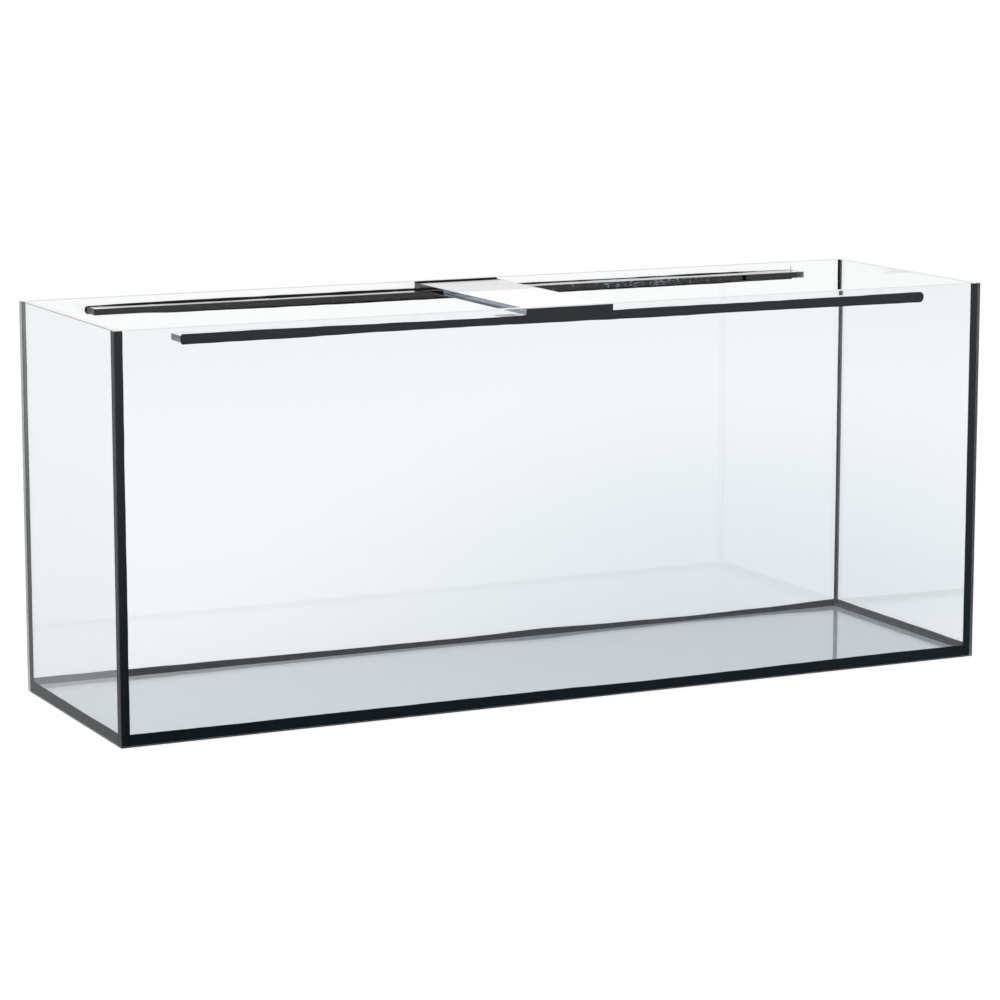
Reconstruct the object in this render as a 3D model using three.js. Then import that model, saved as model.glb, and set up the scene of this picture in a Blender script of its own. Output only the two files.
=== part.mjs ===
// Open-topped glass aquarium tank: five panes, three braces and the black silicone that bonds them.
// Millimetres, +Z up. The origin is the middle of the underside, +X runs along the length, -Y is the front.
import * as THREE from 'three';

// Driving dimensions.
const LENGTH = 1200;
const DEPTH = 350;
const HEIGHT = 500;
const PANE = 10; // thickness of the four walls and of the base
const ARRIS = 0.5; // width of the ground bevel round both faces of a pane
const BOND = 1; // silicone between two pieces of glass
const TRIM = 0.3; // the silicone is cut back this far from the outer faces
// Legs of the fillet beads, which are tooled by hand and differ from seam to seam.
const CORNER_BEADS = { front_left: 3, front_right: 1.5, back_left: 2.5, back_right: 2.5 };
const BASE_BEADS = { front: 4, back: 6, left: 4.5, right: 8 };
const BRACE = 8; // thickness of the braces
const BRACE_LENGTH = 1030;
const BRACE_WIDTH = 30;
const CROSS_WIDTH = 120;
const PAD_WIDTH = 6; // strip of silicone between the cross brace and each long brace
const CROSS_DROP = 2; // from the rim down to the top of the cross brace
const SQUEEZE_OUT = 2; // silicone standing above and below the edge that it bonds
const BOND_END_RADIUS = 5; // rounded ends of the long brace bonds

// Worked-out places.
const INNER_X = LENGTH / 2 - PANE;
const INNER_Y = DEPTH / 2 - PANE;
const CROSS_TOP = HEIGHT - CROSS_DROP;
const CROSS_UNDERSIDE = CROSS_TOP - BRACE;
const BRACE_TOP = CROSS_UNDERSIDE - BOND;
const BRACE_MIDDLE = BRACE_TOP - BRACE / 2;
const BRACE_BOND_TOP = BRACE_TOP + SQUEEZE_OUT;
const CROSS_BOND_TOP = HEIGHT - CROSS_DROP / 2;
const GLASS_EDGE_Y = INNER_Y - BOND;

const UP = new THREE.Vector3(0, 0, 1);
const RIGHT = new THREE.Vector3(1, 0, 0);
const BACKWARD = new THREE.Vector3(0, 1, 0);

const tank = new THREE.Group();

function paneGlass() {
  return new THREE.MeshStandardMaterial({
    color: 0xd5e4e2,
    roughness: 0.03,
    metalness: 0,
    transparent: true,
    opacity: 0.35,
  });
}

function blackSilicone() {
  return new THREE.MeshStandardMaterial({ color: 0x0c0d0f, roughness: 0.42, metalness: 0 });
}

// Adds a mesh whose local x and y run along two given directions, with its middle at a given point.
function place(name, geometry, material, centre, across, along) {
  const mesh = new THREE.Mesh(geometry, material);
  const normal = new THREE.Vector3().crossVectors(across, along);
  mesh.name = name;
  mesh.quaternion.setFromRotationMatrix(new THREE.Matrix4().makeBasis(across, along, normal));
  mesh.position.copy(centre);
  tank.add(mesh);
}

// A rectangle about the origin, with rounded corners where a radius is given.
function rectangle(width, height, radius = 0) {
  const x = width / 2;
  const y = height / 2;
  const shape = new THREE.Shape();
  if (radius === 0) {
    shape.moveTo(-x, -y).lineTo(x, -y).lineTo(x, y).lineTo(-x, y);
    return shape;
  }
  const corners = [[1, -1], [1, 1], [-1, 1], [-1, -1]];
  corners.forEach(([sideX, sideY], turn) => {
    const start = (turn - 1) * Math.PI / 2;
    shape.absarc(sideX * (x - radius), sideY * (y - radius), radius, start, start + Math.PI / 2, false);
  });
  return shape;
}

// A flat sheet of glass with the arris ground along all the edges of both faces.
function glassSheet(name, width, height, thickness, centre, across, along) {
  const geometry = new THREE.ExtrudeGeometry(rectangle(width, height), {
    depth: thickness - 2 * ARRIS,
    bevelThickness: ARRIS,
    bevelSize: ARRIS,
    bevelOffset: -ARRIS,
    bevelSegments: 1,
  });
  geometry.translate(0, 0, ARRIS - thickness / 2);
  place(name, geometry, paneGlass(), centre, across, along);
}

// A thin layer of silicone of a given outline.
function siliconeLayer(name, outline, centre, across, along) {
  const geometry = new THREE.ExtrudeGeometry(outline, { depth: BOND, bevelEnabled: false, curveSegments: 6 });
  geometry.translate(0, 0, -BOND / 2);
  place(name, geometry, blackSilicone(), centre, across, along);
}

// A tooled fillet of silicone in an inner corner, with two flat legs joined by a hollow arc.
// The legs run along the two given directions, and the middle of its corner line is at the given point.
function filletBead(name, leg, length, corner, firstLeg, secondLeg) {
  const radius = 1.5 * leg;
  const middle = (leg + Math.sqrt(2 * radius ** 2 - leg ** 2)) / 2;
  const start = Math.atan2(-middle, leg - middle);
  const end = Math.atan2(leg - middle, -middle);
  const shape = new THREE.Shape();
  shape.moveTo(0, 0).lineTo(leg, 0);
  shape.absarc(middle, middle, radius, start, end, true);
  const geometry = new THREE.ExtrudeGeometry(shape, { depth: length, bevelEnabled: false, curveSegments: 6 });
  geometry.translate(0, 0, -length / 2);
  place(name, geometry, blackSilicone(), corner, firstLeg, secondLeg);
}

// The walls stand right round the base. The front and back run the full length, and the sides fit between.
function addWallsAndBase() {
  const sideWidth = 2 * GLASS_EDGE_Y;
  const middleY = INNER_Y + PANE / 2;
  const middleX = INNER_X + PANE / 2;
  const middleZ = HEIGHT / 2;
  const front = new THREE.Vector3(0, -middleY, middleZ);
  const back = new THREE.Vector3(0, middleY, middleZ);
  const left = new THREE.Vector3(-middleX, 0, middleZ);
  const right = new THREE.Vector3(middleX, 0, middleZ);
  glassSheet('front_pane', LENGTH, HEIGHT, PANE, front, RIGHT, UP);
  glassSheet('back_pane', LENGTH, HEIGHT, PANE, back, RIGHT, UP);
  glassSheet('left_pane', sideWidth, HEIGHT, PANE, left, BACKWARD, UP);
  glassSheet('right_pane', sideWidth, HEIGHT, PANE, right, BACKWARD, UP);

  const baseLength = 2 * (INNER_X - BOND);
  glassSheet('base_pane', baseLength, sideWidth, PANE, new THREE.Vector3(0, 0, PANE / 2), RIGHT, BACKWARD);
}

// In each upright corner one layer bonds the side's edge to the long pane. A bead covers it inside,
// and stands on the long bead at its foot.
function addCorners() {
  const bondWidth = PANE - TRIM;
  const bondHeight = HEIGHT - 2 * TRIM;
  for (const [ySide, sideY] of [['front', -1], ['back', 1]]) {
    const beadFoot = PANE + BASE_BEADS[ySide];
    const beadLength = HEIGHT - TRIM - beadFoot;
    for (const [xSide, sideX] of [['left', -1], ['right', 1]]) {
      const corner = `${ySide}_${xSide}`;
      const bondX = sideX * (INNER_X + bondWidth / 2);
      const bondCentre = new THREE.Vector3(bondX, sideY * (INNER_Y - BOND / 2), HEIGHT / 2);
      siliconeLayer(`${corner}_bond`, rectangle(bondWidth, bondHeight), bondCentre, RIGHT, UP);

      const beadCorner = new THREE.Vector3(sideX * INNER_X, sideY * INNER_Y, beadFoot + beadLength / 2);
      const legX = RIGHT.clone().multiplyScalar(-sideX);
      const legY = BACKWARD.clone().multiplyScalar(-sideY);
      filletBead(`${corner}_bead`, CORNER_BEADS[corner], beadLength, beadCorner, legX, legY);
    }
  }
}

// Round the base one layer bonds each of its edges to a wall, and a bead covers it inside.
// The long seams run from side wall to side wall, and the short ones fit between them.
function addBaseSeams() {
  const longRun = 2 * INNER_X;
  const shortBond = 2 * GLASS_EDGE_Y;
  const shortBead = 2 * INNER_Y - BASE_BEADS.front - BASE_BEADS.back;
  const shortBeadMiddle = (BASE_BEADS.front - BASE_BEADS.back) / 2;
  const seams = [
    ['front', new THREE.Vector3(0, 1, 0), INNER_Y, longRun, longRun, 0],
    ['back', new THREE.Vector3(0, -1, 0), INNER_Y, longRun, longRun, 0],
    ['left', new THREE.Vector3(1, 0, 0), INNER_X, shortBond, shortBead, shortBeadMiddle],
    ['right', new THREE.Vector3(-1, 0, 0), INNER_X, shortBond, shortBead, shortBeadMiddle],
  ];
  const bondHeight = PANE - TRIM;
  for (const [side, inward, wallDistance, bondLength, beadLength, beadMiddle] of seams) {
    const run = new THREE.Vector3().crossVectors(UP, inward);
    const bondCentre = inward.clone().multiplyScalar(BOND / 2 - wallDistance);
    bondCentre.z = TRIM + bondHeight / 2;
    siliconeLayer(`base_${side}_bond`, rectangle(bondLength, bondHeight), bondCentre, run, UP);

    const beadCorner = inward.clone().multiplyScalar(-wallDistance);
    beadCorner.y += beadMiddle;
    beadCorner.z = PANE;
    filletBead(`base_${side}_bead`, BASE_BEADS[side], beadLength, beadCorner, inward, UP);
  }
}

// A long brace lies flat along each long pane, just below the rim, bonded by its edge.
// The cross brace lies on both of them at mid-length, and its ends are bonded to the long panes too.
function addBraces() {
  const crossDepth = 2 * GLASS_EDGE_Y;
  const crossCentre = new THREE.Vector3(0, 0, CROSS_TOP - BRACE / 2);
  glassSheet('cross_brace', CROSS_WIDTH, crossDepth, BRACE, crossCentre, RIGHT, BACKWARD);

  const braceY = GLASS_EDGE_Y - BRACE_WIDTH / 2;
  const bondY = INNER_Y - BOND / 2;
  const braceBondHeight = BRACE + 2 * SQUEEZE_OUT;
  const crossBondHeight = CROSS_BOND_TOP - BRACE_BOND_TOP;
  const crossBondMiddle = BRACE_BOND_TOP + crossBondHeight / 2;
  for (const [side, sign] of [['front', -1], ['back', 1]]) {
    const braceCentre = new THREE.Vector3(0, sign * braceY, BRACE_MIDDLE);
    glassSheet(`${side}_brace`, BRACE_LENGTH, BRACE_WIDTH, BRACE, braceCentre, RIGHT, BACKWARD);

    const braceBond = rectangle(BRACE_LENGTH, braceBondHeight, BOND_END_RADIUS);
    const braceBondCentre = new THREE.Vector3(0, sign * bondY, BRACE_MIDDLE);
    siliconeLayer(`${side}_brace_bond`, braceBond, braceBondCentre, RIGHT, UP);

    const crossBond = rectangle(CROSS_WIDTH, crossBondHeight);
    const crossBondCentre = new THREE.Vector3(0, sign * bondY, crossBondMiddle);
    siliconeLayer(`cross_${side}_bond`, crossBond, crossBondCentre, RIGHT, UP);

    const pad = rectangle(CROSS_WIDTH, PAD_WIDTH);
    const padY = GLASS_EDGE_Y - PAD_WIDTH / 2;
    const padCentre = new THREE.Vector3(0, sign * padY, BRACE_TOP + BOND / 2);
    siliconeLayer(`cross_${side}_pad`, pad, padCentre, RIGHT, BACKWARD);
  }
}

addWallsAndBase();
addCorners();
addBaseSeams();
addBraces();

export default tank;
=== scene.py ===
"""Open-topped glass aquarium tank: the looks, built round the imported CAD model.

Metres, +Z up, +X along the length, -Y is the front. Nothing on the tank moves, so all of it rides on "root".
"""

import math

import bmesh
import bpy
from mathutils import Matrix, Vector, noise


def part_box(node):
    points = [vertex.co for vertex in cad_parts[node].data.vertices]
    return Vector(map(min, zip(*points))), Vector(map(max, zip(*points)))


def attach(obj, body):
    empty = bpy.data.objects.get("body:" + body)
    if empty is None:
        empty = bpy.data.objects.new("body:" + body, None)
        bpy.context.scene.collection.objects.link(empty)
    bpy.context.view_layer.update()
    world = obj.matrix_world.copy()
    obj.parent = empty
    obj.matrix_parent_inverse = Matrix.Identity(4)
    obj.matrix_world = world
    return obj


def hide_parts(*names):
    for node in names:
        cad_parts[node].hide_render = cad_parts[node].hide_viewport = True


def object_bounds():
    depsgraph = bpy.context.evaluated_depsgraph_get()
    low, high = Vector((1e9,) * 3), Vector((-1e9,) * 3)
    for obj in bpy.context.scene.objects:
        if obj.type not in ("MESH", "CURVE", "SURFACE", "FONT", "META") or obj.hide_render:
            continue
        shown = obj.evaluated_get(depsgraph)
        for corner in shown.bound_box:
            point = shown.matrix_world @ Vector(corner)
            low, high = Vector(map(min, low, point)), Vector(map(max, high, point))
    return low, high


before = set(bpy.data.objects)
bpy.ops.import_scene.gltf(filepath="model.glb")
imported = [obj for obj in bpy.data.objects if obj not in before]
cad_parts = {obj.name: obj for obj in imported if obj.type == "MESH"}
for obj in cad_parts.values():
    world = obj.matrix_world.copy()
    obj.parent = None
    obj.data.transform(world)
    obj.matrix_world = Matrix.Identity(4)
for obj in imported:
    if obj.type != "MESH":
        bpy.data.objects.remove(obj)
cad_low, cad_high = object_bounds()

MM = 0.001
ARRIS = 0.5 * MM  # ground bevel along the glass edges
WETTING = 0.03 * MM  # the silicone sinks this far into the glass, so that no air shows between them
BOND = 1.0 * MM  # silicone between two pieces of glass
FLOOR_GAP = 0.3 * MM

X = Vector((1, 0, 0))
Y = Vector((0, 1, 0))
Z = Vector((0, 0, 1))


# ---------------------------------------------------------------- materials


def new_material(name):
    """An empty node material: its tree, its Principled shader and its output."""
    material = bpy.data.materials.new(name)
    material.use_nodes = True
    nodes = material.node_tree.nodes
    nodes.clear()
    output = nodes.new("ShaderNodeOutputMaterial")
    shader = nodes.new("ShaderNodeBsdfPrincipled")
    material.node_tree.links.new(shader.outputs["BSDF"], output.inputs["Surface"])
    return material, shader, output


def object_point(material, stretch=(1, 1, 1)):
    """The place in the object's own metres, stretched along each axis."""
    nodes = material.node_tree.nodes
    place = nodes.new("ShaderNodeTexCoord")
    mapping = nodes.new("ShaderNodeMapping")
    mapping.inputs["Scale"].default_value = stretch
    material.node_tree.links.new(place.outputs["Object"], mapping.inputs["Vector"])
    return mapping.outputs["Vector"]


def noise_field(material, point, scale, detail=2.0, roughness=0.5):
    """Smooth noise from 0 to 1, with a scale in features per metre."""
    texture = material.node_tree.nodes.new("ShaderNodeTexNoise")
    texture.inputs["Scale"].default_value = scale
    texture.inputs["Detail"].default_value = detail
    texture.inputs["Roughness"].default_value = roughness
    material.node_tree.links.new(point, texture.inputs["Vector"])
    return texture.outputs["Fac"]


def remap(material, value, low, high, start=0.0, end=1.0):
    """Low where the value is at start, and high where it is at end."""
    node = material.node_tree.nodes.new("ShaderNodeMapRange")
    node.inputs["From Min"].default_value = start
    node.inputs["From Max"].default_value = end
    node.inputs["To Min"].default_value = low
    node.inputs["To Max"].default_value = high
    material.node_tree.links.new(value, node.inputs["Value"])
    return node.outputs["Result"]


def colour_between(material, value, dark, light):
    """The first colour where the value is 0, and the second where it is 1."""
    ramp = material.node_tree.nodes.new("ShaderNodeValToRGB")
    ramp.color_ramp.elements[0].color = (*dark, 1)
    ramp.color_ramp.elements[1].color = (*light, 1)
    material.node_tree.links.new(value, ramp.inputs["Fac"])
    return ramp.outputs["Color"]


def bump(material, shader, height, strength, distance):
    node = material.node_tree.nodes.new("ShaderNodeBump")
    node.inputs["Strength"].default_value = strength
    node.inputs["Distance"].default_value = distance
    material.node_tree.links.new(height, node.inputs["Height"])
    material.node_tree.links.new(node.outputs["Normal"], shader.inputs["Normal"])


def tint(material, output, per_metre):
    """What the glass takes from red, green and blue light in a metre. It shows most where seen edge on."""
    density = 1.1 * max(per_metre)
    absorption = material.node_tree.nodes.new("ShaderNodeVolumeAbsorption")
    absorption.inputs["Color"].default_value = (*(1 - share / density for share in per_metre), 1)
    absorption.inputs["Density"].default_value = density
    material.node_tree.links.new(absorption.outputs["Volume"], output.inputs["Volume"])


def float_glass(name, per_metre):
    """Clear float glass: a faint roll in its faces, and a pale tint that grows with its thickness."""
    material, shader, output = new_material(name)
    shader.inputs["Base Color"].default_value = (1, 1, 1, 1)
    shader.inputs["Roughness"].default_value = 0.0
    shader.inputs["IOR"].default_value = 1.52
    shader.inputs["Transmission Weight"].default_value = 1.0
    roll = noise_field(material, object_point(material), 7.0, 1.0)
    bump(material, shader, roll, 0.05, 0.002)
    tint(material, output, per_metre)
    return material


def ground_edge(name, stretch, per_metre, clearness):
    """A glass edge ground with a wheel, with fine streaks along it.

    Its clearness is the share of light that comes through it, blurred, and the rest is scattered back.
    """
    material, shader, output = new_material(name)
    streaks = noise_field(material, object_point(material, stretch), 60.0, 5.0, 0.65)
    shader.inputs["Base Color"].default_value = (1, 1, 1, 1)
    shader.inputs["Roughness"].default_value = 0.5
    shader.inputs["IOR"].default_value = 1.52
    shader.inputs["Transmission Weight"].default_value = clearness
    bump(material, shader, streaks, 0.35, 0.0002)
    tint(material, output, per_metre)
    return material


def tooled_silicone(name, dark, light):
    """The skin of a cured black bead: soft sheen, slow ripples where it was smoothed, fine orange peel."""
    material, shader, _ = new_material(name)
    point = object_point(material)
    ripple = noise_field(material, point, 90.0, 3.0)
    fine = noise_field(material, point, 900.0, 2.0)
    colour = colour_between(material, ripple, dark, light)
    material.node_tree.links.new(colour, shader.inputs["Base Color"])
    material.node_tree.links.new(remap(material, ripple, 0.28, 0.46), shader.inputs["Roughness"])
    shader.inputs["IOR"].default_value = 1.41
    shader.inputs["Specular IOR Level"].default_value = 0.25
    mixed = material.node_tree.nodes.new("ShaderNodeMath")
    mixed.operation = "MULTIPLY_ADD"
    mixed.inputs[1].default_value = 0.15
    material.node_tree.links.new(fine, mixed.inputs[0])
    material.node_tree.links.new(ripple, mixed.inputs[2])
    bump(material, shader, mixed.outputs["Value"], 0.4, 0.0004)
    return material


def bonded_silicone(name, voids=None):
    """The face of the silicone that wets the glass: almost no shine, and a faint mottle where it spread.

    Voids, where the silicone missed the glass, lie between two distances along X; their silvery colour is a
    painted reflection of the air gap there.
    """
    material, shader, _ = new_material(name)
    mottle = noise_field(material, object_point(material, (0.5, 0.5, 1)), 120.0, 3.0, 0.6)
    spread = remap(material, mottle, 0, 1, 0.35, 0.7)
    colour = colour_between(material, spread, (0.001, 0.002, 0.003), (0.004, 0.006, 0.009))
    if voids:
        colour = with_painted_void_reflections(material, colour, *voids)
    material.node_tree.links.new(colour, shader.inputs["Base Color"])
    material.node_tree.links.new(remap(material, mottle, 0.7, 0.9), shader.inputs["Roughness"])
    shader.inputs["Specular IOR Level"].default_value = 0.04
    return material


def with_painted_void_reflections(material, colour, start, end):
    """The same colour with long silvery flecks, thickest at seven tenths of the way from start to end. The
    voids are real; their silver is a painted reflection.
    """
    nodes = material.node_tree.nodes
    links = material.node_tree.links
    flecks = noise_field(material, object_point(material, (0.32, 1, 1)), 480.0, 2.5, 0.55)
    across = nodes.new("ShaderNodeSeparateXYZ")
    links.new(object_point(material), across.inputs["Vector"])
    share = remap(material, across.outputs["X"], 0, 1, start, end)
    thick = nodes.new("ShaderNodeValToRGB")
    elements = thick.color_ramp.elements
    elements.new(0.5)
    elements.new(0.5)
    amounts = ((0.0, 0.0), (0.35, 0.45), (0.7, 1.0), (1.0, 0.0))
    for element, (position, amount) in zip(elements, amounts):
        element.position = position
        element.color = (amount, amount, amount, 1)
    links.new(share, thick.inputs["Fac"])
    level = remap(material, thick.outputs["Color"], 0.72, 0.55)
    above = nodes.new("ShaderNodeMath")
    above.operation = "GREATER_THAN"
    links.new(flecks, above.inputs[0])
    links.new(level, above.inputs[1])
    mix = nodes.new("ShaderNodeMix")
    mix.data_type = "RGBA"
    links.new(above.outputs["Value"], mix.inputs["Factor"])
    links.new(colour, mix.inputs[6])
    # Painted reflection: the voids are painted a pale silver.
    mix.inputs[7].default_value = (0.75, 0.78, 0.82, 1)
    return mix.outputs[2]


PANE_TINT = (8.1, 6.9, 6.5)
BRACE_TINT = (11.0, 9.2, 8.2)
PANE_GLASS = float_glass("pane_glass", PANE_TINT)
BRACE_GLASS = float_glass("brace_glass", BRACE_TINT)
RIM_ALONG_X = ground_edge("rim_long", (0.25, 4, 4), PANE_TINT, 0.12)
RIM_ALONG_Y = ground_edge("rim_deep", (4, 0.25, 4), PANE_TINT, 0.12)
PANE_END = ground_edge("pane_end", (4, 4, 0.25), PANE_TINT, 0.7)
BONDED_END = ground_edge("pane_end_bonded", (4, 4, 0.25), PANE_TINT, 0.98)
BRACE_END = ground_edge("brace_end", (4, 0.25, 4), BRACE_TINT, 0.9)
PALE_ARRIS = ground_edge("arris_pale", (1, 1, 1), PANE_TINT, 0.3)
DARK_ARRIS = ground_edge("arris_dark", (1, 1, 1), PANE_TINT, 1.0)
TOOLED = tooled_silicone("silicone_skin", (0.002, 0.003, 0.006), (0.009, 0.011, 0.018))
# A paler copy of the tooled skin, used only on the right base seam.
PALE_SKIN = tooled_silicone("silicone_skin_pale", (0.030, 0.034, 0.042), (0.065, 0.072, 0.084))
BONDED = bonded_silicone("silicone_bonded")
BONDED_WITH_PAINTED_VOID_REFLECTIONS = bonded_silicone("silicone_bonded_voids_painted_reflection", (0.0, 0.42))


# ---------------------------------------------------------------- building


def add_piece(name, bm, materials, replaced):
    """Makes an object from a bmesh, gives it its materials, and lets it stand for CAD nodes."""
    bmesh.ops.recalc_face_normals(bm, faces=bm.faces)
    mesh = bpy.data.meshes.new(name)
    bm.to_mesh(mesh)
    bm.free()
    for material in materials:
        mesh.materials.append(material)
    piece = bpy.data.objects.new(name, mesh)
    bpy.context.scene.collection.objects.link(piece)
    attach(piece, "root")
    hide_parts(*replaced)
    return piece


def edge_slot(normal):
    """The material slot of a sheet's edge: 1 on a rim, 3 on the right end, 2 on the rest."""
    if normal.z > 0.5:
        return 1
    return 3 if normal.x >= 0.5 else 2


def glass_piece(node, clear_axes, glass, rim, ends, rim_arris):
    """A sheet of glass with a ground arris on every edge.

    Faces along the clear axes are clear. Of the others, those facing up are rims, and the rest are ends, and
    the right end may differ from the left one.
    """
    low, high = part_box(node)
    bm = bmesh.new()
    bmesh.ops.create_cube(bm, size=1.0)
    middle = (low + high) / 2
    size = high - low
    for vertex in bm.verts:
        vertex.co = middle + Vector(v * s for v, s in zip(vertex.co, size))
    bmesh.ops.bevel(bm, geom=bm.edges[:], offset=ARRIS, segments=2, profile=0.6, affect="EDGES")
    for face in bm.faces:
        flat = [axis for axis in range(3) if abs(face.normal[axis]) > 0.999]
        if not flat:
            face.material_index = 5 if face.normal.z > 0.2 else 4
        elif flat[0] in clear_axes:
            face.material_index = 0
        else:
            face.material_index = edge_slot(face.normal)
    return add_piece(node + "_sheet", bm, [glass, rim, *ends, DARK_ARRIS, rim_arris], [node])


def sweep(rings, bonded):
    """A closed body through rings of points. Ring sides in bonded get the second material."""
    bm = bmesh.new()
    rows = [[bm.verts.new(point) for point in ring] for ring in rings]
    count = len(rings[0])
    for near, far in zip(rows, rows[1:]):
        for side in range(count):
            after = (side + 1) % count
            face = bm.faces.new((near[side], near[after], far[after], far[side]))
            face.material_index = 1 if side in bonded else 0
            face.smooth = True
    for cap in (rows[0], rows[-1][::-1]):
        bm.faces.new(cap)
    return bm


def hollow_arc(start, end, steps, depth):
    """Points between two ends of a tooled fillet, bowed towards the corner at the origin of both legs."""
    corner = Vector((start.x, end.y)) if abs(start.x) < abs(end.x) else Vector((end.x, start.y))
    points = []
    for step in range(1, steps):
        share = step / steps
        chord = start.lerp(end, share)
        pull = depth * 4 * share * (1 - share)
        points.append(chord.lerp(corner, pull))
    return points


def wander(seed, place, wavelength, size):
    """A smooth random wander along a seam, the same on every run."""
    return noise.noise(Vector((place / wavelength, seed * 7.3, 0.5))) * size


def smooth_share(value):
    """The value held between 0 and 1, with a gentle start and end."""
    value = min(1.0, max(0.0, value))
    return value * value * (3 - 2 * value)


def along(sizes, share):
    """A smooth curve through evenly spaced sizes, given in millimetres."""
    spot = share * (len(sizes) - 1)
    first = min(int(spot), len(sizes) - 2)
    return (sizes[first] + (sizes[first + 1] - sizes[first]) * smooth_share(spot - first)) * MM


def seam_section(place, length, seed, depth, legs, reach):
    """A sheet's edge bonded to a face over a given depth, with a tooled fillet on the inner side.

    First coordinate: out from the face. Second: up from the edge sheet's inner side.
    """
    on_face = along(legs, place / length)
    on_face += wander(seed, place, 40 * MM, 0.35 * MM) + wander(seed + 5, place, 11 * MM, 0.12 * MM)
    on_sheet = reach
    on_sheet += wander(seed + 1, place, 45 * MM, 0.16 * reach) + wander(seed + 6, place, 13 * MM, 0.12 * MM)
    start = Vector((-WETTING, on_face))
    end = Vector((BOND + on_sheet, -WETTING))
    section = [Vector((-WETTING, -depth)), start]
    section += hollow_arc(start, end, 7, 0.3)
    section += [
        end,
        Vector((BOND + ARRIS, -WETTING)),
        Vector((BOND + WETTING, -ARRIS)),
        Vector((BOND + WETTING, -depth)),
    ]
    return section


SEAM_BONDED_SIDES = (0, 8, 9, 10)


def seam(name, replaced, seed, corner, out, up, run, length, depth, legs, reach, skin):
    """A seam along a corner line. The corner line starts at corner and runs for length."""
    steps = max(2, round(length / (5 * MM)))
    rings = []
    for step in range(steps + 1):
        place = length * step / steps
        centre = corner + run * place
        section = seam_section(place, length, seed, depth, legs, reach)
        rings.append([centre + out * point.x + up * point.y for point in section])
    return add_piece(name, sweep(rings, SEAM_BONDED_SIDES), [skin, BONDED], replaced)


# ---------------------------------------------------------------- glass


def add_glass():
    """The five panes and the three braces."""
    frosted = (PANE_END, PANE_END)
    panes = (
        ("front_pane", (1,), RIM_ALONG_X, (BONDED_END, PANE_END), PALE_ARRIS),
        ("back_pane", (1,), RIM_ALONG_X, frosted, PALE_ARRIS),
        ("left_pane", (0,), RIM_ALONG_Y, frosted, DARK_ARRIS),
        ("right_pane", (0,), RIM_ALONG_Y, frosted, PALE_ARRIS),
        ("base_pane", (2,), RIM_ALONG_X, frosted, DARK_ARRIS),
    )
    for node, clear_axes, rim, ends, rim_arris in panes:
        glass_piece(node, clear_axes, PANE_GLASS, rim, ends, rim_arris)
    braces = (
        ("front_brace", (1, 2), RIM_ALONG_X),
        ("back_brace", (1, 2), RIM_ALONG_X),
        ("cross_brace", (0, 1, 2), RIM_ALONG_Y),
    )
    for node, clear_axes, rim in braces:
        glass_piece(node, clear_axes, BRACE_GLASS, rim, (BRACE_END, BRACE_END), DARK_ARRIS)


# ---------------------------------------------------------------- silicone


# Legs of the tooled beads in millimetres, at even steps: from bottom to top in the upright corners, and from
# left to right or front to back round the base. The reach is the other leg, along the sheet whose edge is
# bonded, and the trim is how far the silicone stops short of the outer face.
CORNER_LEGS = {
    "front_left": (3.4, 3.1, 2.7, 2.9),
    "front_right": (1.1, 0.8, 0.9, 1.2),
    "back_left": (2.4, 2.2, 2.3, 2.1),
    "back_right": (2.3, 2.0, 2.0, 1.8),
}
CORNER_REACH = {"front_left": 2.6, "front_right": 1.2, "back_left": 6.5, "back_right": 2.2}
CORNER_TRIM = {"front_left": 0.2, "front_right": 0.3, "back_left": 0.2, "back_right": 0.2}
BASE_TRIM = 0.2 * MM
BASE_LEGS = {
    "front": (4.4, 4.0, 4.3, 4.2, 4.0, 3.8, 2.7, 3.3, 4.2, 4.7, 4.7),
    "back": (7.5, 7.5, 7.2, 6.1, 5.7, 5.3, 7.4, 5.6, 4.6, 5.7, 8.0),
    "left": (4.7, 4.2, 4.4, 4.8),
    "right": (8.3, 8.8, 8.7, 9.0),
}
BASE_REACH = {"front": 3.6, "back": 4.6, "left": 4.4, "right": 4.0}


def add_corner_seams():
    """Upright seams: the side panes' edges bonded to the long panes."""
    bottom = 0.2 * MM
    top = cad_high.z - 0.3 * MM
    seed = 10
    for y_side, sign_y in (("front", -1), ("back", 1)):
        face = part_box(y_side + "_pane")[1 if sign_y < 0 else 0].y
        for x_side, sign_x in (("left", -1), ("right", 1)):
            side_low, side_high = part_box(x_side + "_pane")
            inner = side_high.x if sign_x < 0 else side_low.x
            corner = Vector((inner, face, bottom))
            name = f"{y_side}_{x_side}"
            depth = side_high.x - side_low.x - CORNER_TRIM[name] * MM
            seam(
                name + "_seam", [name + "_bond", name + "_bead"], seed, corner,
                Y * -sign_y, X * -sign_x, Z, top - bottom, depth,
                CORNER_LEGS[name], CORNER_REACH[name] * MM, TOOLED,
            )
            seed += 10


def add_base_seams():
    """Seams round the base: its edges bonded to the four walls."""
    base_low, base_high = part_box("base_pane")
    depth = base_high.z - base_low.z - BASE_TRIM
    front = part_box("front_pane")[1].y
    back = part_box("back_pane")[0].y
    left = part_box("left_pane")[1].x
    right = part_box("right_pane")[0].x
    top = base_high.z
    seams = (
        ("front", Vector((left, front, top)), Y, X, right - left),
        ("back", Vector((left, back, top)), -Y, X, right - left),
        ("left", Vector((left, front, top)), X, Y, back - front),
        ("right", Vector((right, front, top)), -X, Y, back - front),
    )
    seed = 100
    for side, corner, out, run, length in seams:
        replaced = [f"base_{side}_bond", f"base_{side}_bead"]
        # The right base seam gets the paler skin.
        skin = PALE_SKIN if side == "right" else TOOLED
        seam(
            f"base_{side}_seam", replaced, seed, corner,
            out, Z, run, length, depth, BASE_LEGS[side], BASE_REACH[side] * MM, skin,
        )
        seed += 10


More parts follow.
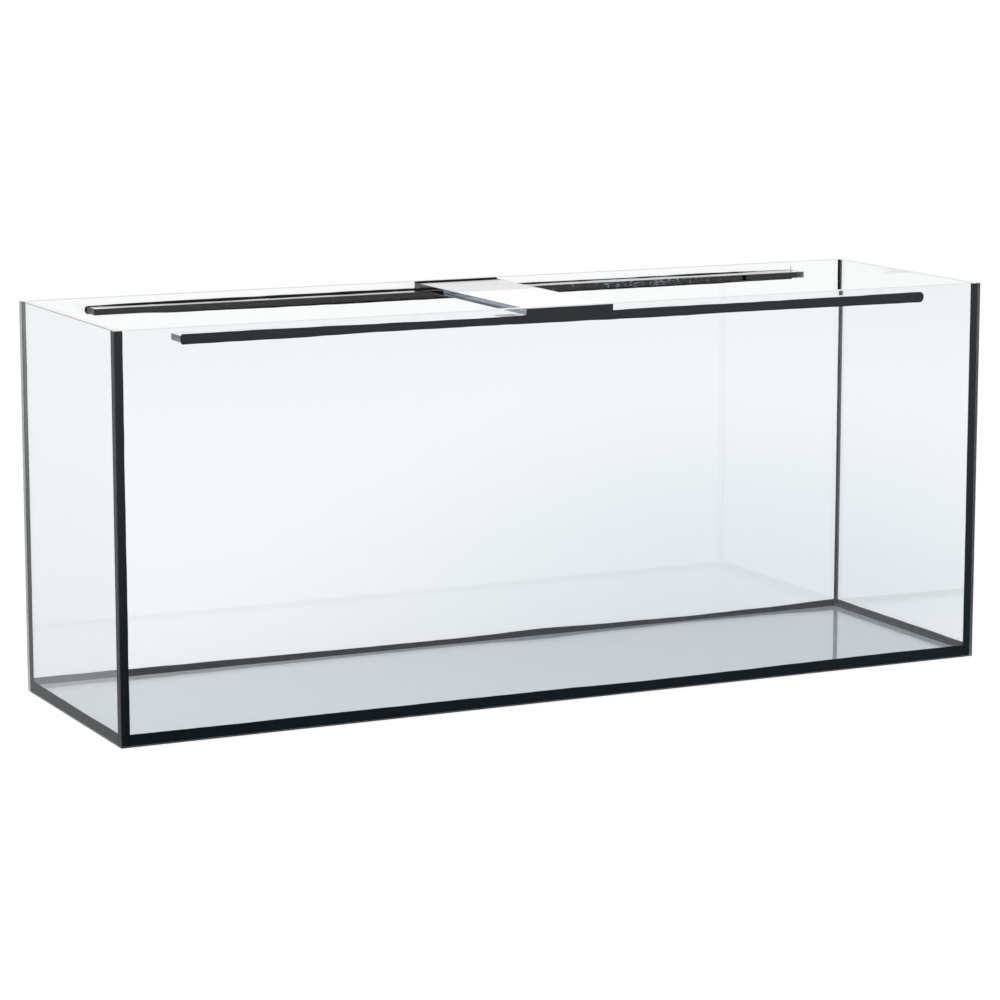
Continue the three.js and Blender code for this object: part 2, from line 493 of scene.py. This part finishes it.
# All in millimetres: squeeze-out above and below each long brace, at even steps from its left end to its
# right; how far the silicone below reaches out along the brace's underside; and, at the left and at the
# right end, how far it runs past the brace and how widely it is rounded.
SQUEEZE_ABOVE = {
    "front": (2.1, 2.2, 1.2, 0.9, 1.4, 2.2, 1.7, 2.1, 2.6),
    "back": (1.0, 2.1, 1.9, 2.0, 1.4, 1.2, 0.9, 1.3, 0.1),
}
SQUEEZE_BELOW = {
    "front": (2.4, 2.3, 0.9, 1.0, 1.6, 2.4, 1.9, 2.6, 3.0),
    "back": (1.8, 5.2, 6.0, 6.2, 6.2, 6.1, 6.0, 5.8, 5.0),
}
REACH_BELOW = {"front": 1.5, "back": 4.0}
BRACE_ENDS = {"front": ((0.3, 3.0), (1.4, 6.0)), "back": ((2.4, 5.0), (0.5, 1.5))}

LEAST_SQUEEZE = 0.05 * MM
ARC_STEPS = 5  # flat sides across each bead's hollow face


def brace_section(place, length, seed, half, side):
    """A brace's long edge bonded to a wall, with a bead above and below.

    First coordinate: out from the wall. Second: up from the middle of the brace's thickness.
    """
    share = min(1.0, max(0.0, place / length))
    overrun, radius = BRACE_ENDS[side][place > length / 2]
    to_end = min(place, length - place) + overrun * MM
    rounded = math.sqrt(max(0.004, 1 - (1 - min(1.0, to_end / (radius * MM))) ** 2))
    above = along(SQUEEZE_ABOVE[side], share) + wander(seed, place, 22 * MM, 0.35 * MM)
    below = along(SQUEEZE_BELOW[side], share) + wander(seed + 1, place, 18 * MM, 0.35 * MM)
    over = rounded * (half + max(LEAST_SQUEEZE, above))
    under = rounded * (half + max(LEAST_SQUEEZE, below))
    if min(over, under) < half + 0.04 * MM or not 0 <= place <= length:
        bulge = BOND + WETTING if 0 <= place <= length else BOND * rounded
        section = [Vector((-WETTING, -under)), Vector((-WETTING, over))]
        count = 2 * ARC_STEPS + 4
        for step in range(1, count + 1):
            angle = math.pi * (0.5 - step / (count + 1))
            height = over if angle > 0 else under
            section.append(Vector((bulge * min(1.0, 2.5 * math.cos(angle)), height * math.sin(angle))))
        return section

    reach = rounded * (REACH_BELOW[side] * MM + wander(seed + 3, place, 25 * MM, 0.5 * MM))
    foot_over = max(ARRIS, rounded * (1.0 * MM + wander(seed + 2, place, 25 * MM, 0.5 * MM)))
    top_start = Vector((-WETTING, over))
    top_end = Vector((BOND + foot_over, half - WETTING))
    low_start = Vector((BOND + max(ARRIS, reach), WETTING - half))
    low_end = Vector((-WETTING, -under))
    section = [low_end, top_start]
    section += hollow_arc(top_start, top_end, ARC_STEPS, 0.3)
    section += [
        top_end,
        Vector((BOND + ARRIS, half - WETTING)),
        Vector((BOND + WETTING, half - ARRIS)),
        Vector((BOND + WETTING, ARRIS - half)),
        Vector((BOND + ARRIS, WETTING - half)),
        low_start,
    ]
    return section + hollow_arc(low_start, low_end, ARC_STEPS, 0.3)


BRACE_BONDED_SIDES = (0, 6, 7, 8, 9, 10)


def run_places(start, end):
    """Places along a run: close together over the stretch at each end, and 5 mm apart between."""
    stretch = 9 * MM
    fine = 0.6 * MM
    near = [start + fine * count for count in range(round(stretch / fine))]
    first = start + stretch
    last = end - stretch
    count = round((last - first) / (5 * MM))
    middle = [first + (last - first) * index / count for index in range(count + 1)]
    return near + middle + [start + end - place for place in reversed(near)]


def add_brace_bonds():
    """The long edges of the front and back braces bonded to their walls."""
    for seed, (side, sign) in enumerate((("front", -1), ("back", 1))):
        brace_low, brace_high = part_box(side + "_brace")
        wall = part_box(side + "_pane")[1 if sign < 0 else 0].y
        half = (brace_high.z - brace_low.z) / 2
        middle = (brace_high.z + brace_low.z) / 2
        length = brace_high.x - brace_low.x
        (left_overrun, _), (right_overrun, _) = BRACE_ENDS[side]
        rings = []
        for place in run_places(-left_overrun * MM, length + right_overrun * MM):
            centre = Vector((brace_low.x + place, wall, middle))
            section = brace_section(place, length, 200 + 20 * seed, half, side)
            rings.append([centre + Y * -sign * point.x + Z * point.y for point in section])
        bm = sweep(rings, BRACE_BONDED_SIDES)
        if side == "back":
            add_smear(bm, Vector((brace_high.x - 3 * MM, wall, brace_high.z + 0.5 * MM)))
        # The back bond's wetted face carries voids painted silvery, a painted reflection.
        bonded = BONDED_WITH_PAINTED_VOID_REFLECTIONS if side == "back" else BONDED
        add_piece(f"{side}_brace_seam", bm, [TOOLED, bonded], [f"{side}_brace_bond"])


def add_smear(bm, foot):
    """A short upright string of silicone left on the wall."""
    size = Vector((0.9 * MM, 0.5 * MM, 4.5 * MM))
    middle = foot + Vector((0, WETTING - size.y / 2, size.z / 2))
    matrix = Matrix.Translation(middle) @ Matrix.Diagonal((*size, 1))
    bmesh.ops.create_icosphere(bm, subdivisions=2, radius=0.5, matrix=matrix)


# How far the silicone stands above the cross brace's ends, in millimetres.
CROSS_OVER = {"front": 0.4, "back": 1.5}
CROSS_STEPS = 24
CROSS_BONDED_SIDES = (0, 3, 4, 5)


def add_cross_bonds():
    """The cross brace's ends bonded to the long walls."""
    low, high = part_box("cross_brace")
    for seed, (side, sign) in enumerate((("front", -1), ("back", 1))):
        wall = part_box(side + "_pane")[1 if sign < 0 else 0].y
        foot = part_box(side + "_brace")[1].z - 0.5 * MM
        rings = []
        for step in range(CROSS_STEPS + 1):
            place = (high.x - low.x) * step / CROSS_STEPS
            over = CROSS_OVER[side] * MM + wander(300 + seed, place, 20 * MM, 0.2 * MM)
            toe = 1.0 * MM + wander(310 + seed, place, 20 * MM, 0.2 * MM)
            section = [
                Vector((-WETTING, foot)),
                Vector((-WETTING, high.z + over)),
                Vector((0.45 * BOND, high.z + 0.5 * over)),
                Vector((BOND + toe, high.z - WETTING)),
                Vector((BOND + ARRIS, high.z - WETTING)),
                Vector((BOND + WETTING, high.z - ARRIS)),
                Vector((BOND + WETTING, foot)),
            ]
            centre = Vector((low.x + place, wall, 0))
            rings.append([centre + Y * -sign * point.x + Z * point.y for point in section])
        body = sweep(rings, CROSS_BONDED_SIDES)
        add_piece(f"cross_{side}_seam", body, [TOOLED, BONDED], [f"cross_{side}_bond"])


PAD_STEP = 4 * MM
PAD_BULGE = 0.25 * MM


def pad_outline(low, high):
    """Evenly spaced points round the pad, seen from above."""
    places = ((low.x, low.y), (high.x, low.y), (high.x, high.y), (low.x, high.y))
    corners = [Vector(place) for place in places]
    outline = []
    for first, last in zip(corners, corners[1:] + corners[:1]):
        steps = round((last - first).length / PAD_STEP)
        outline += [first.lerp(last, step / steps) for step in range(steps)]
    return outline


def add_cross_pads():
    """The layers between the cross brace and the long braces under it."""
    for seed, side in enumerate(("front", "back")):
        low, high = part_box(f"cross_{side}_pad")
        outline = pad_outline(low, high)
        centre = Vector(((low.x + high.x) / 2, (low.y + high.y) / 2))
        middle = (low.z + high.z) / 2
        layers = (
            (low.z - WETTING, 0.0), (low.z, 0.0), (middle, PAD_BULGE), (high.z, 0.0), (high.z + WETTING, 0.0),
        )
        rings = []
        for height, bulge in layers:
            ring = []
            for index, point in enumerate(outline):
                away = (point - centre).normalized()
                inset = -0.7 * MM + wander(400 + seed, index * PAD_STEP, 12 * MM, 0.9 * MM) + bulge
                ring.append(Vector((*(point + away * inset), height)))
            rings.append(ring)
        bm = sweep(rings, ())
        for face in bm.faces:
            if len(face.verts) > 4:
                face.material_index = 1
        add_piece(f"cross_{side}_pad_layer", bm, [TOOLED, BONDED], [f"cross_{side}_pad"])


# ---------------------------------------------------------------- studio


def calculated(material, operation, first, second):
    """The material's arithmetic on two values, each one a number or another node's output."""
    node = material.node_tree.nodes.new("ShaderNodeMath")
    node.operation = operation
    for socket, value in zip(node.inputs, (first, second)):
        if isinstance(value, float):
            socket.default_value = value
        else:
            material.node_tree.links.new(value, socket)
    return node.outputs["Value"]


def multiplied(material, first, second):
    """Two colours multiplied."""
    node = material.node_tree.nodes.new("ShaderNodeMix")
    node.data_type = "RGBA"
    node.blend_type = "MULTIPLY"
    node.inputs["Factor"].default_value = 1.0
    material.node_tree.links.new(first, node.inputs[6])
    material.node_tree.links.new(second, node.inputs[7])
    return node.outputs[2]


def eased(material, value, start, end):
    """0 at start and 1 at end, with no corner at either."""
    result = remap(material, value, 0.0, 1.0, start, end)
    result.node.interpolation_type = "SMOOTHSTEP"
    return result


def floor_glow_with_painted_shade(material):
    """The floor's glow, with painted shade: darker behind the tank's right half, a painted shadow under the
    tank, and darker far away.
    """
    nodes = material.node_tree.nodes
    links = material.node_tree.links
    place = nodes.new("ShaderNodeTexCoord").outputs["Object"]
    spot = nodes.new("ShaderNodeSeparateXYZ")
    links.new(place, spot.inputs["Vector"])

    # Painted shade behind the tank's right half: a soft oval dip in the glow, kept off the floor in front of
    # the tank.
    offset = nodes.new("ShaderNodeMapping")
    offset.vector_type = "TEXTURE"
    offset.inputs["Location"].default_value = (0.62, 0.5, 0)
    offset.inputs["Rotation"].default_value = (0, 0, math.radians(-30))
    offset.inputs["Scale"].default_value = (0.85, 2.4, 1)
    links.new(place, offset.inputs["Vector"])
    distance = nodes.new("ShaderNodeVectorMath")
    distance.operation = "LENGTH"
    links.new(offset.outputs["Vector"], distance.inputs[0])
    behind = eased(material, distance.outputs["Value"], 1.0, 0.0)
    behind = calculated(material, "MULTIPLY", behind, eased(material, spot.outputs["Y"], -0.1, 0.3))

    # Painted shadow under the tank: a bluish dip in the glow over its footprint, deepest towards the right.
    half = (cad_high - cad_low) / 2
    across = calculated(material, "ABSOLUTE", spot.outputs["X"], 0.0)
    across = calculated(material, "DIVIDE", across, half.x)
    deep = calculated(material, "ABSOLUTE", spot.outputs["Y"], 0.0)
    deep = calculated(material, "DIVIDE", deep, half.y)
    under = eased(material, calculated(material, "MAXIMUM", across, deep), 1.0, 0.98)
    rightward = eased(material, spot.outputs["X"], -0.6, 0.5)
    under = calculated(material, "MULTIPLY", under, remap(material, rightward, 0.5, 1.0))

    # Painted shade far away: the glow dims from 1.2 m to 4.5 m behind the tank.
    far = eased(material, spot.outputs["Y"], 1.2, 4.5)
    painted_shade_behind_colour = colour_between(material, behind, (1, 1, 1), (0.78, 0.82, 0.86))
    painted_shadow_under_colour = colour_between(material, under, (1, 1, 1), (0.54, 0.60, 0.67))
    painted_far_shade_colour = colour_between(material, far, (1, 1, 1), (0.895, 0.895, 0.895))
    return multiplied(material, multiplied(material, painted_shade_behind_colour, painted_shadow_under_colour), painted_far_shade_colour)


def add_floor():
    """A pale floor that reaches the horizon. It glows as well as being lit, so it stays nearly white."""
    material, shader, _ = new_material("studio_floor")
    shader.inputs["Base Color"].default_value = (0.3, 0.3, 0.3, 1)
    shader.inputs["Roughness"].default_value = 1.0
    shader.inputs["Specular IOR Level"].default_value = 0.0
    # The glow holds painted shade: darker behind the tank's right half, under the tank and far away.
    material.node_tree.links.new(floor_glow_with_painted_shade(material), shader.inputs["Emission Color"])
    shader.inputs["Emission Strength"].default_value = 0.83
    bm = bmesh.new()
    bmesh.ops.create_circle(bm, cap_ends=True, segments=96, radius=80.0)
    mesh = bpy.data.meshes.new("studio_floor")
    bm.to_mesh(mesh)
    bm.free()
    mesh.materials.append(material)
    floor = bpy.data.objects.new("studio_floor", mesh)
    floor.location.z = cad_low.z - FLOOR_GAP
    floor.visible_glossy = False
    bpy.context.scene.collection.objects.link(floor)


# The studio's light, as heights and colours: the room on the camera's side, with its dark floor, and the lit
# side behind the tank.
ROOM_LIGHT = (
    (-0.24, (0.08, 0.14, 0.17)),
    (-0.195, (0.30, 0.38, 0.44)),
    (-0.12, (0.72, 0.77, 0.85)),
    (0.0, (1.0, 1.0, 1.0)),
    (0.35, (0.7, 0.7, 0.7)),
)
BACKDROP_LIGHT = (
    (-0.24, (0.50, 0.52, 0.52)),
    (-0.18, (0.62, 0.64, 0.65)),
    (-0.12, (1.0, 1.0, 1.0)),
    (0.0, (1.0, 1.0, 1.0)),
    (0.06, (1.2, 1.2, 1.2)),
    (0.13, (1.2, 1.2, 1.2)),
    (0.19, (0.90, 0.92, 0.94)),
    (0.33, (1.0, 1.0, 1.0)),
    (0.42, (1.7, 1.7, 1.7)),
    (0.60, (1.5, 1.5, 1.5)),
    (0.80, (0.75, 0.75, 0.75)),
)
BRIGHTEST = 1.8


def add_world():
    """A white studio, dimmer over and behind the camera, with a dark floor in that direction."""
    world = bpy.data.worlds.new("studio")
    bpy.context.scene.world = world
    world.use_nodes = True
    nodes = world.node_tree.nodes
    links = world.node_tree.links
    background = nodes["Background"]
    place = nodes.new("ShaderNodeTexCoord")
    split = nodes.new("ShaderNodeSeparateXYZ")
    links.new(place.outputs["Generated"], split.inputs["Vector"])

    def scaled(source, start, end, low, high):
        node = nodes.new("ShaderNodeMapRange")
        node.inputs["From Min"].default_value = start
        node.inputs["From Max"].default_value = end
        node.inputs["To Min"].default_value = low
        node.inputs["To Max"].default_value = high
        links.new(source, node.inputs["Value"])
        return node.outputs["Result"]

    def steps(stops):
        """Colours by height, from the first stop's height up to the last one's."""
        node = nodes.new("ShaderNodeValToRGB")
        first, last = stops[0][0], stops[-1][0]
        elements = node.color_ramp.elements
        while len(elements) < len(stops):
            elements.new(0.5)
        for element, (height, colour) in zip(elements, stops):
            element.position = (height - first) / (last - first)
            element.color = (*(part / BRIGHTEST for part in colour), 1)
        links.new(scaled(split.outputs["Z"], first, last, 0, 1), node.inputs["Fac"])
        return node.outputs["Color"]

    frontward = scaled(split.outputs["Y"], -0.1, -0.75, 0, 1)
    mix = nodes.new("ShaderNodeMix")
    mix.data_type = "RGBA"
    links.new(frontward, mix.inputs["Factor"])
    links.new(steps(BACKDROP_LIGHT), mix.inputs[6])
    links.new(steps(ROOM_LIGHT), mix.inputs[7])
    links.new(mix.outputs[2], background.inputs["Color"])
    background.inputs["Strength"].default_value = BRIGHTEST


CAMERA_AZIMUTH = -25.83
CAMERA_ELEVATION = 9.70
CAMERA_DISTANCE = 4.599
CAMERA_LENS = 127.97
AIM_FROM_CENTRE = Vector((-0.0135, 0.0032, -0.0208))


def add_camera():
    """A long-lens camera in front of the tank and to its left, looking a little down on it."""
    data = bpy.data.cameras.new("camera")
    data.lens = CAMERA_LENS
    data.sensor_width = 36.0
    data.clip_end = 200.0
    camera = bpy.data.objects.new("camera", data)
    azimuth = math.radians(CAMERA_AZIMUTH)
    elevation = math.radians(CAMERA_ELEVATION)
    back = Vector((
        math.sin(azimuth) * math.cos(elevation),
        -math.cos(azimuth) * math.cos(elevation),
        math.sin(elevation),
    ))
    camera.location = (cad_low + cad_high) / 2 + AIM_FROM_CENTRE + back * CAMERA_DISTANCE
    camera.rotation_euler = (-back).to_track_quat("-Z", "Y").to_euler()
    bpy.context.scene.collection.objects.link(camera)
    bpy.context.scene.camera = camera


def set_light_paths():
    """Light crosses up to four panes and glances along their insides, so it gets plenty of bounces."""
    cycles = bpy.context.scene.cycles
    cycles.max_bounces = 28
    cycles.transmission_bounces = 24
    cycles.glossy_bounces = 16
    cycles.transparent_max_bounces = 24
    bpy.context.scene.view_settings.view_transform = "Standard"


add_camera()
set_light_paths()
add_world()
add_floor()
add_glass()
add_corner_seams()
add_base_seams()
add_brace_bonds()
add_cross_bonds()
add_cross_pads()
